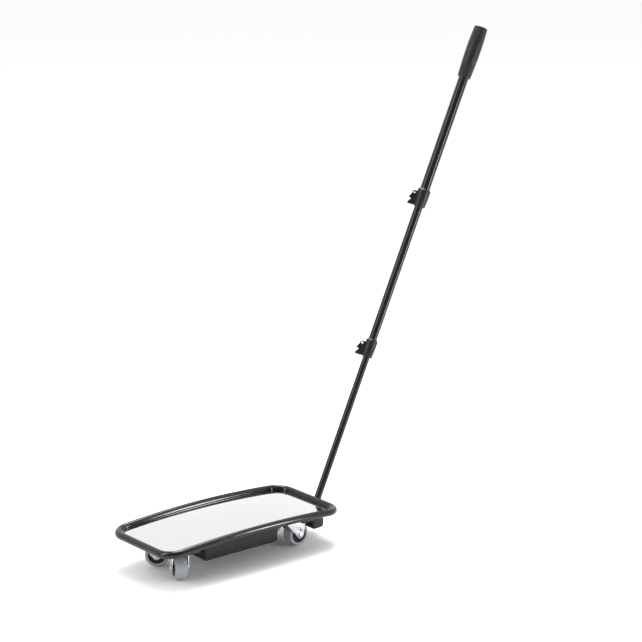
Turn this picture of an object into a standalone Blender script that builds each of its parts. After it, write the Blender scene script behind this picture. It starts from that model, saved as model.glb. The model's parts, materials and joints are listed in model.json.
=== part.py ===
"""Wheeled under-vehicle inspection mirror with a three-section telescopic pole.

Metres, +Z up. X runs along the mirror toward the pole and Y across it. The origin is on the
floor, at the middle of the overall length.
"""
from math import cos, pi, radians, sin, tan

import bmesh
import bpy
from mathutils import Matrix, Vector

NAME = "inspection_mirror"

GAP = 0.0003            # clearance between pieces that rest on or fit into each other

# Frame and mirror
FRAME_LENGTH = 0.4638   # centreline of the tube, along X
FRAME_WIDTH = 0.2066    # centreline of the tube, along Y, at the corners
FRAME_CORNER = 0.0364   # centreline radius of the corners
FRAME_BULGE = 0.0017    # how far the middle of a long side stands outside its ends
FRAME_TUBE = 0.008      # outer radius of the tube
FRAME_WALL = 0.0015
FRAME_LIFT = 0.017      # tube centre above the casters' plates at mid length
FRAME_ARCH = 0.0102     # how much lower the tube centre is at its ends
VENT = 0.002            # radius of the weld vent in the tube's underside
MIRROR_DROP = 0.002     # mirror surface below the tube centre
MIRROR_THICKNESS = 0.003
MIRROR_DOME = 0.004     # rise of the mirror's middle above its edges, besides the arch
DECK_THICKNESS = 0.0015

# Cross bars and casters
BAR_WIDTH = 0.030
BAR_LEFT_X = -0.1665    # swivel axes, from mid length of the frame
BAR_RIGHT_X = 0.141
CASTER_Y = 0.047
WHEEL_RADIUS = 0.0265
FORK_CLEAR = 0.007      # between the wheel and the underside of the fork's top
TREAD_WIDTH = 0.026
TREAD_CROWN = 0.0022    # how much smaller the tread is at its edges
TYRE_THICKNESS = 0.0075
HUB_WIDTH = 0.031
HUB_DISH = 0.0022
HUB_BOSS = 0.0075
AXLE_RADIUS = 0.003
AXLE_HEAD = 0.0055
AXLE_HEAD_THICKNESS = 0.0025
TRAIL = 0.010
WHEEL_PLAY = 0.0006     # between the hub and each fork leg
FORK_WALL = 0.002
RACE_HEIGHT = 0.006     # fork's top to the top of the caster's plate
FORK_NOSE = 0.025       # fork's top ahead of the swivel axis
FORK_TAIL = 0.023       # fork's top behind the swivel axis
FORK_SPLAY = 0.0015     # how much further back the legs reach below the top
FORK_TIP = 0.0085       # radius of the leg's end round the axle
FORK_BEND = 0.005       # outer radius between the top and the legs
LEG_SWEEP = (185, 335)  # degrees that a leg's rounded end covers
LEG_STEPS = 6
LEG_HOLE = 0.0025
LEG_HOLE_RISE = 0.0115  # above the axle
PLATE_RADIUS = 0.020
PLATE_THICKNESS = 0.0025
RACE_RADIUS = 0.0135
KING_PIN = 0.004
KING_HEAD = 0.0065
KING_HEAD_THICKNESS = 0.003
YAWS = {"front_left": 65.6, "back_left": 140.6, "front_right": 180.0, "back_right": 150.0}   # degrees

# Ballast housing and pole bracket
HOUSING_LEFT = -0.115
HOUSING_RIGHT = 0.079
HOUSING_MARGIN = 0.0293 # from the frame tube's centreline to the housing's long sides
HOUSING_BOTTOM = 0.029  # above the floor
HOUSING_WALL = 0.002
HOUSING_EDGE = 0.007    # radius of the lower edges
FLANGE_WIDTH = 0.012
FLANGE_BOLT_X = 0.070   # bolts either side of the housing's middle
BOLT_RADIUS = 0.002
BOLT_HEAD = 0.0038
BOLT_HEAD_THICKNESS = 0.0028
BALLAST_LENGTH = 0.150
BALLAST_WIDTH = 0.100
BALLAST_THICKNESS = 0.012
SWING_CLEAR = 0.0025    # between a swivelling wheel and the bracket
BRACKET_RIGHT = 0.208
BRACKET_BOTTOM = 0.032
BRACKET_WALL = 0.0025
BRACKET_EDGE = 0.009

# Pole foot
POLE_ANGLE = radians(64.81)     # above horizontal
POLE_CLEAR = 0.003              # between the lower tube and the frame's end
PIVOT_HEIGHT = 0.046
PIVOT_RADIUS = 0.003
PIVOT_HEAD = 0.0055
PIVOT_HEAD_THICKNESS = 0.004
PIVOT_STUB = 0.0064             # bolt's end beyond the cheek on the nut's side
EYE_RADIUS = 0.0085
EYE_WIDTH = 0.012
CLEVIS_CHEEK = 0.003
CLEVIS_RIM = 0.0005             # cheeks' reach beyond the knuckle's eye, above and below
CLEVIS_TIP = 0.006              # radius of the cheeks' ends
CLEVIS_NOTCH = 0.004            # radius of the cheeks' upper and lower corners
CLEVIS_BASE = 0.003
CLEVIS_WIDTH = 0.042
CLEVIS_BOTTOM = 0.0385
CLEVIS_TOP = 0.0625
RIVET_RADIUS = 0.002
RIVET_HEAD = 0.004
RIVET_CROWN = 0.0024            # flat on top of a rivet's head
RIVET_HEAD_THICKNESS = 0.002
RIVET_SPREAD = 0.014            # rivets either side of the middle
FOOT_LENGTH = 0.017             # pivot to the lower end of the lower tube
FOOT_INSERT = 0.028             # spigot inside the lower tube
FOOT_COLLAR = 0.003             # collar that the lower tube stands on
FOOT_NECK = 0.0054              # radius just above the eye
FOOT_NECK_START = 0.0051        # from the pivot

# Pole sections; distances run along the pole from the pivot
TUBE_WALL = 0.001
LOWER_TUBE = 0.008
MIDDLE_TUBE = 0.0095
UPPER_TUBE = 0.011
LOWER_CLAMP = 0.359             # lower ends of the clamps
UPPER_CLAMP = 0.7126
CLAMP_TURN = radians(-42)       # clamps' ears round the pole, from the side toward the mirror
CLAMP_LENGTH = 0.042
CLAMP_GRIP = 0.018              # part of a clamp that is on the inner tube
CLAMP_WALL = 0.0036
CLAMP_TAPER = 0.0016            # how much slimmer a clamp is at its lower end
CLAMP_SPLIT = 0.0016
CLAMP_CHAMFER = 0.003           # at the upper rim, inward
CLAMP_CHAMFER_DROP = 0.004      # at the upper rim, downward
CLAMP_SHOULDER = 0.006          # height of the full diameter above the step in the bore
EAR_LIFT = 0.001                # ears start this far above the clamp's lower end
PIN_STAND = 0.0086              # pin's axis beyond the upper tube's wall
PIN_HEIGHT = 0.0277             # pin above the clamp's lower end
PIN_RADIUS = 0.0030
PIN_BORE = 0.0020               # the pin is a tubular rivet
EAR_RADIUS = 0.0048
EAR_THICKNESS = 0.0026
LEVER_WIDTH = 0.0076
LEVER_ROOT = 0.0040
LEVER_CLEAR = 0.0008            # between the closed lever and the collar
LOBE_RADIUS = 0.0032            # the lever's two finger lobes
LOBE_REACH = 0.0056             # lobes' centres beyond the pin
UPPER_LOBE = 0.0117             # lobes' centres below the pin
LOWER_LOBE = 0.0245
OVERLAP = 0.060                 # how far an inner tube still reaches into the outer one
BUSH_LENGTH = 0.018
BUSH_SHOULDER = 0.003
BUSH_PLAY = 0.0001              # between a bush and the tube it runs in
TUBE_SEAT = 0.001               # outer tube's end above the step in its clamp
GRIP_START = 1.0171
GRIP_LENGTH = 0.119
GRIP_RADIUS = 0.0168
GRIP_END_RADIUS = 0.0148
GRIP_BELLY = 0.6                # height of the thickest place, as a share of the grip
GRIP_WALL_END = 0.004           # closed end of the grip above the tube
END_PLUG_LENGTH = 0.016
END_PLUG_WALL = 0.002
END_PLUG_HEAD = 0.002
LEAD_IN = 0.001                 # small chamfers, and cutters' reach past a face
SHARP = radians(40)             # edges turned by more than this stay crisp

ROUND = 24
FINE = 28
BORE_SIDES = 16
SMALL = 12
HEXAGON = 6

# Colour, roughness and metallic value of each material
LOOKS = {
    "black_paint": ((0.012, 0.012, 0.014, 1.0), 0.22, 0.0),
    "satin_black": ((0.020, 0.019, 0.024, 1.0), 0.45, 0.0),
    "mirror": ((0.90, 0.90, 0.91, 1.0), 0.03, 1.0),
    "zinc": ((0.66, 0.67, 0.68, 1.0), 0.35, 1.0),
    "steel": ((0.45, 0.45, 0.46, 1.0), 0.40, 1.0),
    "tyre_grey": ((0.34, 0.36, 0.38, 1.0), 0.60, 0.0),
    "black_plastic": ((0.014, 0.014, 0.016, 1.0), 0.38, 0.0),
    "grip_rubber": ((0.020, 0.019, 0.022, 1.0), 0.55, 0.0),
}

# Worked out from the sizes above. "deck" values are measured from mid length of the frame.
FORK_TOP = 2 * WHEEL_RADIUS + FORK_CLEAR + FORK_WALL
CASTER_HEIGHT = FORK_TOP + RACE_HEIGHT
FRAME_HEIGHT = CASTER_HEIGHT + FRAME_LIFT
HOUSING_WIDTH = FRAME_WIDTH - 2 * HOUSING_MARGIN
PIN_REACH = UPPER_TUBE + PIN_STAND
BRACKET_LEFT = BAR_RIGHT_X + TRAIL + WHEEL_RADIUS + SWING_CLEAR
FLOOR_PIVOT = FRAME_HEIGHT - FRAME_ARCH - PIVOT_HEIGHT
POLE_OFFSET = FRAME_TUBE + POLE_CLEAR + LOWER_TUBE
PIVOT_DECK_X = (FRAME_LENGTH / 2 + POLE_OFFSET / sin(POLE_ANGLE)
                - FLOOR_PIVOT / tan(POLE_ANGLE))
GRIP_TOP = GRIP_START + GRIP_LENGTH
LEFT_END = -FRAME_LENGTH / 2 - FRAME_TUBE
RIGHT_END = PIVOT_DECK_X + GRIP_TOP * cos(POLE_ANGLE) + GRIP_END_RADIUS * sin(POLE_ANGLE)
SHIFT = -(LEFT_END + RIGHT_END) / 2
PIVOT = Vector((PIVOT_DECK_X + SHIFT, 0.0, PIVOT_HEIGHT))
POLE = Matrix.Translation(PIVOT) @ Matrix.Rotation(pi / 2 - POLE_ANGLE, 4, "Y")
MIRROR_TOP = -MIRROR_DROP
DECK_TOP = MIRROR_TOP - MIRROR_THICKNESS - GAP
DECK_BOTTOM = DECK_TOP - DECK_THICKNESS
BAR_BOTTOM = CASTER_HEIGHT + GAP
FORK_INNER = HUB_WIDTH / 2 + WHEEL_PLAY
FORK_OUTER = FORK_INNER + FORK_WALL


def arch(x):
    """Height of the frame tube's centre at X, measured from mid length."""
    return FRAME_HEIGHT - FRAME_ARCH * (2 * x / FRAME_LENGTH) ** 2


def clear_scene():
    for item in list(bpy.data.objects):
        bpy.data.objects.remove(item, do_unlink=True)


def make_collection(name):
    collection = bpy.data.collections.new(name)
    bpy.context.scene.collection.children.link(collection)
    return collection


def make_material(name):
    colour, roughness, metallic = LOOKS[name]
    material = bpy.data.materials.new(name)
    material.use_nodes = True
    shader = material.node_tree.nodes["Principled BSDF"]
    shader.inputs["Base Color"].default_value = colour
    shader.inputs["Roughness"].default_value = roughness
    shader.inputs["Metallic"].default_value = metallic
    return material


clear_scene()
PARTS = make_collection(NAME)
CUTTERS = make_collection("cutters")
MATERIALS = {look: make_material(look) for look in LOOKS}


def add_object(name, data, look=None, place=Matrix(), parent=None):
    """A piece with its look, or a cutter when it has none, placed in its parent's frame."""
    item = bpy.data.objects.new(name, data)
    if look is None:
        CUTTERS.objects.link(item)
        item.hide_render = True
        item.display_type = "WIRE"
    else:
        PARTS.objects.link(item)
        data.materials.clear()
        data.materials.append(MATERIALS[look])
    item.parent = parent
    item.matrix_basis = place
    return item


def add_empty(name, place, parent=None):
    """An empty on a joint's axis, placed in its parent's frame."""
    empty = bpy.data.objects.new(name, None)
    PARTS.objects.link(empty)
    empty.parent = parent
    empty.matrix_basis = place
    return empty


def shade(item):
    item.data.shade_smooth()
    item.data.set_sharp_from_angle(angle=SHARP)


def add_cut(item, cutter, operation="DIFFERENCE"):
    modifier = item.modifiers.new(cutter.name, "BOOLEAN")
    modifier.operation = operation
    modifier.object = cutter


def mesh_of(name, build):
    mesh = bpy.data.meshes.new(name)
    shape = bmesh.new()
    build(shape)
    shape.to_mesh(mesh)
    shape.free()
    return mesh


def box_mesh(name, low, high):
    size = [b - a for a, b in zip(low, high)]
    middle = [(a + b) / 2 for a, b in zip(low, high)]
    place = Matrix.Translation(middle) @ Matrix.Diagonal((*size, 1.0))
    return mesh_of(name, lambda shape: bmesh.ops.create_cube(shape, size=1.0, matrix=place))


def rod_mesh(name, radius, start, end, axis="Z", sides=BORE_SIDES):
    """A cylinder along X, Y or Z between two coordinates on that axis."""
    turns = {
        "X": Matrix.Rotation(pi / 2, 4, "Y"),
        "Y": Matrix.Rotation(-pi / 2, 4, "X"),
        "Z": Matrix(),
    }
    place = turns[axis] @ Matrix.Translation((0, 0, (start + end) / 2))
    return mesh_of(name, lambda shape: bmesh.ops.create_cone(
        shape, cap_ends=True, segments=sides, radius1=radius, radius2=radius,
        depth=abs(end - start), matrix=place))


def turned(name, profile, look=None, place=Matrix(), parent=None, sides=ROUND):
    """A (radius, height) profile turned round Z. It runs down the outer side, top to bottom."""
    mesh = bpy.data.meshes.new(name)
    mesh.from_pydata([(r, 0.0, z) for r, z in profile], [(i, i + 1) for i in range(len(profile) - 1)], [])
    item = add_object(name, mesh, look, place, parent)
    screw = item.modifiers.new("turn", "SCREW")
    screw.axis = "Z"
    screw.steps = sides
    screw.render_steps = sides
    screw.use_merge_vertices = True
    screw.merge_threshold = 0.00001
    screw.use_smooth_shade = True
    return item


def ring_profile(outer, inner, low, high):
    return [(inner, high), (outer, high), (outer, low), (inner, low), (inner, high)]


def rounded(points, radii, steps=4):
    """A closed outline with an arc of the given radius at each point."""
    outline = []
    count = len(points)
    for i, (point, radius) in enumerate(zip(points, radii)):
        here = Vector(point)
        back = (Vector(points[i - 1]) - here).normalized()
        ahead = (Vector(points[(i + 1) % count]) - here).normalized()
        if radius <= 0:
            outline.append(here)
            continue
        half = back.angle(ahead) / 2
        centre = here + (back + ahead).normalized() * radius / sin(half)
        first = here + back * radius / tan(half) - centre
        last = here + ahead * radius / tan(half) - centre
        for step in range(steps + 1):
            share = step / steps
            total = first.angle(last)
            arm = (first * sin((1 - share) * total) + last * sin(share * total)) / sin(total)
            outline.append(centre + arm)
    return outline


def circle(centre, radius, start, end, steps):
    """Points on an arc between two angles in degrees."""
    turns = [radians(start + (end - start) * i / steps) for i in range(steps + 1)]
    return [Vector((centre[0] + radius * cos(turn), centre[1] + radius * sin(turn))) for turn in turns]


def curve_mesh(name, curve, place):
    """The curve as a mesh with its caps welded, placed where the curve was."""
    item = bpy.data.objects.new(name, curve)
    bpy.context.scene.collection.objects.link(item)
    bpy.context.view_layer.update()
    graph = bpy.context.evaluated_depsgraph_get()
    mesh = bpy.data.meshes.new_from_object(item.evaluated_get(graph))
    bpy.data.objects.remove(item, do_unlink=True)
    shape = bmesh.new()
    shape.from_mesh(mesh)
    bmesh.ops.remove_doubles(shape, verts=shape.verts, dist=0.000001)
    bmesh.ops.transform(shape, matrix=place, verts=shape.verts)
    shape.to_mesh(mesh)
    shape.free()
    mesh.name = name
    return mesh


def plate_mesh(name, outline, thickness, place=Matrix()):
    """A flat outline in XY, extruded to both sides by half its thickness, then turned by place."""
    curve = bpy.data.curves.new(name, "CURVE")
    curve.dimensions = "2D"
    curve.fill_mode = "BOTH"
    curve.extrude = thickness / 2
    curve.resolution_u = 1
    curve.render_resolution_u = 0
    spline = curve.splines.new("POLY")
    spline.points.add(len(outline) - 1)
    for point, corner in zip(spline.points, outline):
        point.co = (corner[0], corner[1], 0.0, 1.0)
    spline.use_cyclic_u = True
    return curve_mesh(name, curve, place)


# An outline drawn in XZ and extruded along Y, or drawn in YZ and extruded along X
UPRIGHT_XZ = Matrix(((1, 0, 0, 0), (0, 0, -1, 0), (0, 1, 0, 0), (0, 0, 0, 1)))
UPRIGHT_YZ = Matrix(((0, 0, 1, 0), (1, 0, 0, 0), (0, 1, 0, 0), (0, 0, 0, 1)))


def frame_outline(inset=0.0, side_steps=8, corner_steps=5):
    """Closed path of the frame in plan, moved inward by inset; long sides bow outward."""
    half_x = FRAME_LENGTH / 2 - inset
    half_y = FRAME_WIDTH / 2 - inset
    corner = FRAME_CORNER - inset
    run = half_x - corner
    points = []
    for end, side in ((1, 1), (-1, 1), (-1, -1), (1, -1)):
        start = {(1, 1): 0, (-1, 1): 90, (-1, -1): 180, (1, -1): 270}[end, side]
        points += circle((end * run, side * (half_y - corner)), corner, start, start + 90, corner_steps)
        if (end, side) in ((1, 1), (-1, -1)):
            for step in range(1, side_steps):
                x = end * run * (1 - 2 * step / side_steps)
                bulge = FRAME_BULGE * (1 - (x / run) ** 2)
                points.append(Vector((x, side * (half_y + bulge))))
    return points


def frame_sweep(name, radius, sides):
    """The frame's path swept with a round section, following the arch."""
    curve = bpy.data.curves.new(name, "CURVE")
    curve.dimensions = "3D"
    curve.bevel_depth = radius
    curve.bevel_resolution = sides // 2 - 2
    curve.resolution_u = 1
    curve.render_resolution_u = 0
    path = frame_outline()
    spline = curve.splines.new("POLY")
    spline.points.add(len(path) - 1)
    for point, spot in zip(spline.points, path):
        point.co = (spot.x + SHIFT, spot.y, arch(spot.x), 1.0)
    spline.use_cyclic_u = True
    return curve_mesh(name, curve, Matrix())


def arched_slab(name, cutter, inset, look):
    """A sheet with the frame's inner outline, cut out of an arched cutter."""
    outline = frame_outline(inset)
    blank = plate_mesh(name, [(p.x, p.y) for p in outline], 4 * FRAME_HEIGHT)
    item = add_object(name, blank, look, Matrix.Translation((SHIFT, 0, 0)))
    add_cut(item, cutter, "INTERSECT")
    return item


def arched_block(name, top, thickness, steps=12):
    """A wide cutter between two arched faces, the upper one at top from the tube's centre."""
    half = FRAME_LENGTH / 2 + FRAME_TUBE
    spots = [half * (2 * i / steps - 1) for i in range(steps + 1)]
    outline = [(x, arch(x) + top - thickness) for x in spots]
    outline += [(x, arch(x) + top) for x in reversed(spots)]
    return add_object(name, plate_mesh(name, outline, 2 * FRAME_WIDTH, UPRIGHT_XZ), None,
                      Matrix.Translation((SHIFT, 0, 0)))


def domed_block(name, top, thickness, dome, columns=12, rows=6):
    """A cutter between two faces that follow the arch and rise to a dome in their middle."""
    half_x = FRAME_LENGTH / 2
    half_y = FRAME_WIDTH / 2

    def build(shape):
        bmesh.ops.create_grid(shape, x_segments=columns, y_segments=rows, size=1.0)
        bottom = set(shape.verts)
        bmesh.ops.extrude_face_region(shape, geom=shape.faces[:], use_keep_orig=True)
        for vertex in shape.verts:
            x, y = vertex.co.x, vertex.co.y
            level = top - thickness if vertex in bottom else top
            rise = dome * (1 - x * x) * (1 - y * y)
            vertex.co = (x * half_x, y * half_y, arch(x * half_x) + level + rise)
        bmesh.ops.triangulate(shape, faces=shape.faces[:])
        bmesh.ops.recalc_face_normals(shape, faces=shape.faces[:])

    return add_object(name, mesh_of(name, build), None, Matrix.Translation((SHIFT, 0, 0)))


def make_frame():
    tube = add_object("frame_tube", frame_sweep("frame_tube", FRAME_TUBE, 12), "black_paint")
    bore = add_object("tube_bore", frame_sweep("tube_bore", FRAME_TUBE - FRAME_WALL, 6))
    add_cut(tube, bore)
    vent_x = -FRAME_LENGTH / 2
    vent = rod_mesh("tube_vent", VENT, arch(vent_x) - 2 * FRAME_TUBE, arch(vent_x), sides=8)
    add_cut(tube, add_object("tube_vent", vent, None, Matrix.Translation((vent_x + SHIFT, 0, 0))))
    shade(tube)
    inset = FRAME_TUBE + GAP
    bend = domed_block("mirror_bend", MIRROR_TOP, MIRROR_THICKNESS, MIRROR_DOME)
    shade(arched_slab("mirror_panel", bend, inset, "mirror"))
    deck = arched_slab("deck_plate", arched_block("deck_bend", DECK_TOP, DECK_THICKNESS), inset, "satin_black")
    shade(deck)
    return deck


def make_cross_bars(above_deck):
    groove = add_object("bar_groove", frame_sweep("bar_groove", FRAME_TUBE + GAP, 12))
    for side, x in (("left", BAR_LEFT_X), ("right", BAR_RIGHT_X)):
        name = "cross_bar_" + side
        low = (x + SHIFT - BAR_WIDTH / 2, -FRAME_WIDTH / 2, BAR_BOTTOM)
        high = (x + SHIFT + BAR_WIDTH / 2, FRAME_WIDTH / 2, arch(x))
        bar = add_object(name, box_mesh(name, low, high), "satin_black")
        add_cut(bar, above_deck)
        add_cut(bar, groove)


def fork_outline():
    """Side view of a fork leg in XZ, from the swivel axis, with the tip round the axle."""
    tip = Vector((-TRAIL, WHEEL_RADIUS))
    shoulder = FORK_TOP - FORK_BEND - FORK_WALL
    outline = [(FORK_NOSE, FORK_TOP), (-FORK_TAIL, FORK_TOP), (-FORK_TAIL - FORK_SPLAY, shoulder)]
    outline += [(p.x, p.y) for p in circle(tip, FORK_TIP, *LEG_SWEEP, LEG_STEPS)]
    outline += [(FORK_NOSE, shoulder)]
    return outline


def make_fork_mesh():
    """A pressed fork: a channel with rounded shoulders cut to the legs' side view."""
    corners = [(-FORK_OUTER, 0.0), (FORK_OUTER, 0.0), (FORK_OUTER, FORK_TOP), (-FORK_OUTER, FORK_TOP)]
    channel = rounded(corners, [0.0, 0.0, FORK_BEND, FORK_BEND])
    length = 4 * FORK_TAIL
    blank = plate_mesh("fork_blank", channel, length, UPRIGHT_YZ)
    item = add_object("fork_blank", blank)
    side = plate_mesh("fork_side", fork_outline(), 4 * FORK_OUTER, UPRIGHT_XZ)
    add_cut(item, add_object("fork_side", side), "INTERSECT")
    inner_top = FORK_TOP - FORK_WALL
    inner_bend = FORK_BEND - FORK_WALL
    corners = [(-FORK_INNER, -FORK_TOP), (FORK_INNER, -FORK_TOP), (FORK_INNER, inner_top),
               (-FORK_INNER, inner_top)]
    inner = rounded(corners, [0.0, 0.0, inner_bend, inner_bend])
    add_cut(item, add_object("fork_inside", plate_mesh("fork_inside", inner, 2 * length, UPRIGHT_YZ)))
    bore = rod_mesh("fork_bore", KING_PIN + GAP, inner_top - FORK_WALL, FORK_TOP + FORK_WALL)
    add_cut(item, add_object("fork_bore", bore))
    for name, radius, height in (("fork_axle", AXLE_RADIUS + GAP, WHEEL_RADIUS),
                                 ("fork_hole", LEG_HOLE, WHEEL_RADIUS + LEG_HOLE_RISE)):
        rod = rod_mesh(name, radius, -2 * FORK_OUTER, 2 * FORK_OUTER, "Y")
        add_cut(item, add_object(name, rod, None, Matrix.Translation((-TRAIL, 0, height))))
    bpy.context.view_layer.update()
    graph = bpy.context.evaluated_depsgraph_get()
    mesh = bpy.data.meshes.new_from_object(item.evaluated_get(graph))
    mesh.shade_smooth()
    mesh.set_sharp_from_angle(angle=SHARP)
    return mesh


def tyre_profile():
    half = TREAD_WIDTH / 2
    inner = WHEEL_RADIUS - TYRE_THICKNESS
    heights = [half * (1 - i / 2) for i in range(5)]
    crown = [(WHEEL_RADIUS - TREAD_CROWN * (z / half) ** 2, z) for z in heights]
    return [(inner, half), *crown, (inner, -half), (inner, half)]


def hub_profile():
    """Half round section of the hub: a rim that carries the tyre, dished faces and a boss."""
    half = HUB_WIDTH / 2
    rim = WHEEL_RADIUS - TYRE_THICKNESS - GAP
    web = rim - HUB_DISH
    bore = AXLE_RADIUS + GAP
    upper = [(bore, half), (HUB_BOSS, half), (web, half - HUB_DISH), (rim, half - HUB_DISH)]
    lower = [(r, -z) for r, z in reversed(upper)]
    return upper + lower + upper[:1]


def make_caster(corner, x, y, fork_mesh):
    """One swivel caster: plate and king pin on the deck, fork and axle, hub and tyre."""
    name = "caster_" + corner
    spot = Matrix.Translation((x + SHIFT, y, 0))
    plate_low = CASTER_HEIGHT - PLATE_THICKNESS
    bore = KING_PIN + GAP
    race_low = FORK_TOP + GAP
    turned(name + "_plate", [
        (bore, CASTER_HEIGHT), (PLATE_RADIUS, CASTER_HEIGHT), (PLATE_RADIUS, plate_low),
        (RACE_RADIUS, plate_low), (RACE_RADIUS, race_low), (bore, race_low), (bore, CASTER_HEIGHT)],
        "zinc", spot)
    head_top = FORK_TOP - FORK_WALL - GAP
    turned(name + "_king_pin", [
        (0.0, CASTER_HEIGHT), (KING_PIN, CASTER_HEIGHT), (KING_PIN, head_top), (KING_HEAD, head_top),
        (KING_HEAD, head_top - KING_HEAD_THICKNESS), (0.0, head_top - KING_HEAD_THICKNESS)], "zinc", spot,
        sides=BORE_SIDES)
    turn = Matrix.Rotation(radians(YAWS[corner]), 4, "Z")
    swivel = add_empty(name + "_swivel", spot @ turn)
    fork = fork_mesh.copy()
    add_object(name + "_fork", fork, "zinc", Matrix(), swivel)
    spin = add_empty(name + "_spin", Matrix.Translation((-TRAIL, 0, WHEEL_RADIUS))
                     @ Matrix.Rotation(pi / 2, 4, "X"), swivel)
    outer = FORK_OUTER + GAP
    tip = outer + AXLE_HEAD_THICKNESS
    turned(name + "_axle", [
        (0.0, tip), (AXLE_HEAD, tip), (AXLE_HEAD, outer), (AXLE_RADIUS, outer), (AXLE_RADIUS, -outer),
        (AXLE_HEAD, -outer), (AXLE_HEAD, -tip), (0.0, -tip)], "zinc", Matrix(), spin, BORE_SIDES)
    turned(name + "_hub", hub_profile(), "black_plastic", Matrix(), spin)
    turned(name + "_tyre", tyre_profile(), "tyre_grey", Matrix(), spin, FINE)


def open_shell(name, low, high, wall, edge, look):
    """An open-topped pan with rounded lower edges, its wall inside the given size."""
    item = add_object(name, box_mesh(name, low, high), look)
    bevel = item.modifiers.new("edges", "BEVEL")
    bevel.width = edge
    bevel.segments = 3
    bevel.limit_method = "WEIGHT"
    bevel_lower_edges(item.data, low[2])
    inside_low = [value + wall for value in low]
    inside_high = (high[0] - wall, high[1] - wall, high[2] + wall)
    inside = add_object(name + "_inside", box_mesh(name + "_inside", inside_low, inside_high))
    inner = inside.modifiers.new("edges", "BEVEL")
    inner.width = edge - wall
    inner.segments = 3
    inner.limit_method = "WEIGHT"
    bevel_lower_edges(inside.data, inside_low[2])
    add_cut(item, inside)
    return item


def bevel_lower_edges(mesh, floor):
    """Marks the edges of a box's underside for the Bevel modifier."""
    weights = mesh.attributes.new("bevel_weight_edge", "FLOAT", "EDGE")
    for edge in mesh.edges:
        ends = [mesh.vertices[i].co.z for i in edge.vertices]
        weights.data[edge.index].value = 1.0 if max(ends) < floor + 0.000001 else 0.0


def make_housing(deck, above_deck):
    """The ballast pan under the deck, with a flange along each long side and four bolts."""
    low = (HOUSING_LEFT + SHIFT, -HOUSING_WIDTH / 2, HOUSING_BOTTOM)
    high = (HOUSING_RIGHT + SHIFT, HOUSING_WIDTH / 2, FRAME_HEIGHT)
    middle = (low[0] + high[0]) / 2
    pan = open_shell("ballast_housing", low, high, HOUSING_WALL, HOUSING_EDGE, "satin_black")
    flange_low = min(arch(HOUSING_LEFT), arch(HOUSING_RIGHT)) + DECK_BOTTOM - GAP - HOUSING_WALL
    for side in (-1, 1):
        edges = sorted(side * (HOUSING_WIDTH / 2 + reach) for reach in (-HOUSING_WALL / 2, FLANGE_WIDTH))
        rail = box_mesh("flange", (low[0], edges[0], flange_low), (high[0], edges[1], FRAME_HEIGHT))
        add_cut(pan, add_object(f"flange_{side}", rail), "UNION")
    add_cut(pan, above_deck)
    shade(pan)
    number = 0
    for side in (-1, 1):
        for end in (-1, 1):
            number += 1
            x = middle + end * FLANGE_BOLT_X
            y = side * (HOUSING_WIDTH + FLANGE_WIDTH) / 2
            spot = Matrix.Translation((x, y, 0))
            top = arch(x - SHIFT) + DECK_TOP - GAP
            hole = rod_mesh("bolt_hole", BOLT_RADIUS + GAP, flange_low - HOUSING_WALL, FRAME_HEIGHT)
            cutter = add_object(f"bolt_hole_{number}", hole, None, spot)
            add_cut(pan, cutter)
            add_cut(deck, cutter)
            under = flange_low - GAP
            turned(f"housing_bolt_{number}", [
                (0.0, top), (BOLT_RADIUS, top), (BOLT_RADIUS, under), (BOLT_HEAD, under),
                (BOLT_HEAD, under - BOLT_HEAD_THICKNESS), (0.0, under - BOLT_HEAD_THICKNESS)],
                "zinc", spot, sides=SMALL)
    floor = HOUSING_BOTTOM + HOUSING_WALL + GAP
    ballast = box_mesh("ballast_bar", (middle - BALLAST_LENGTH / 2, -BALLAST_WIDTH / 2, floor),
                       (middle + BALLAST_LENGTH / 2, BALLAST_WIDTH / 2, floor + BALLAST_THICKNESS))
    add_object("ballast_bar", ballast, "steel")


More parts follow.
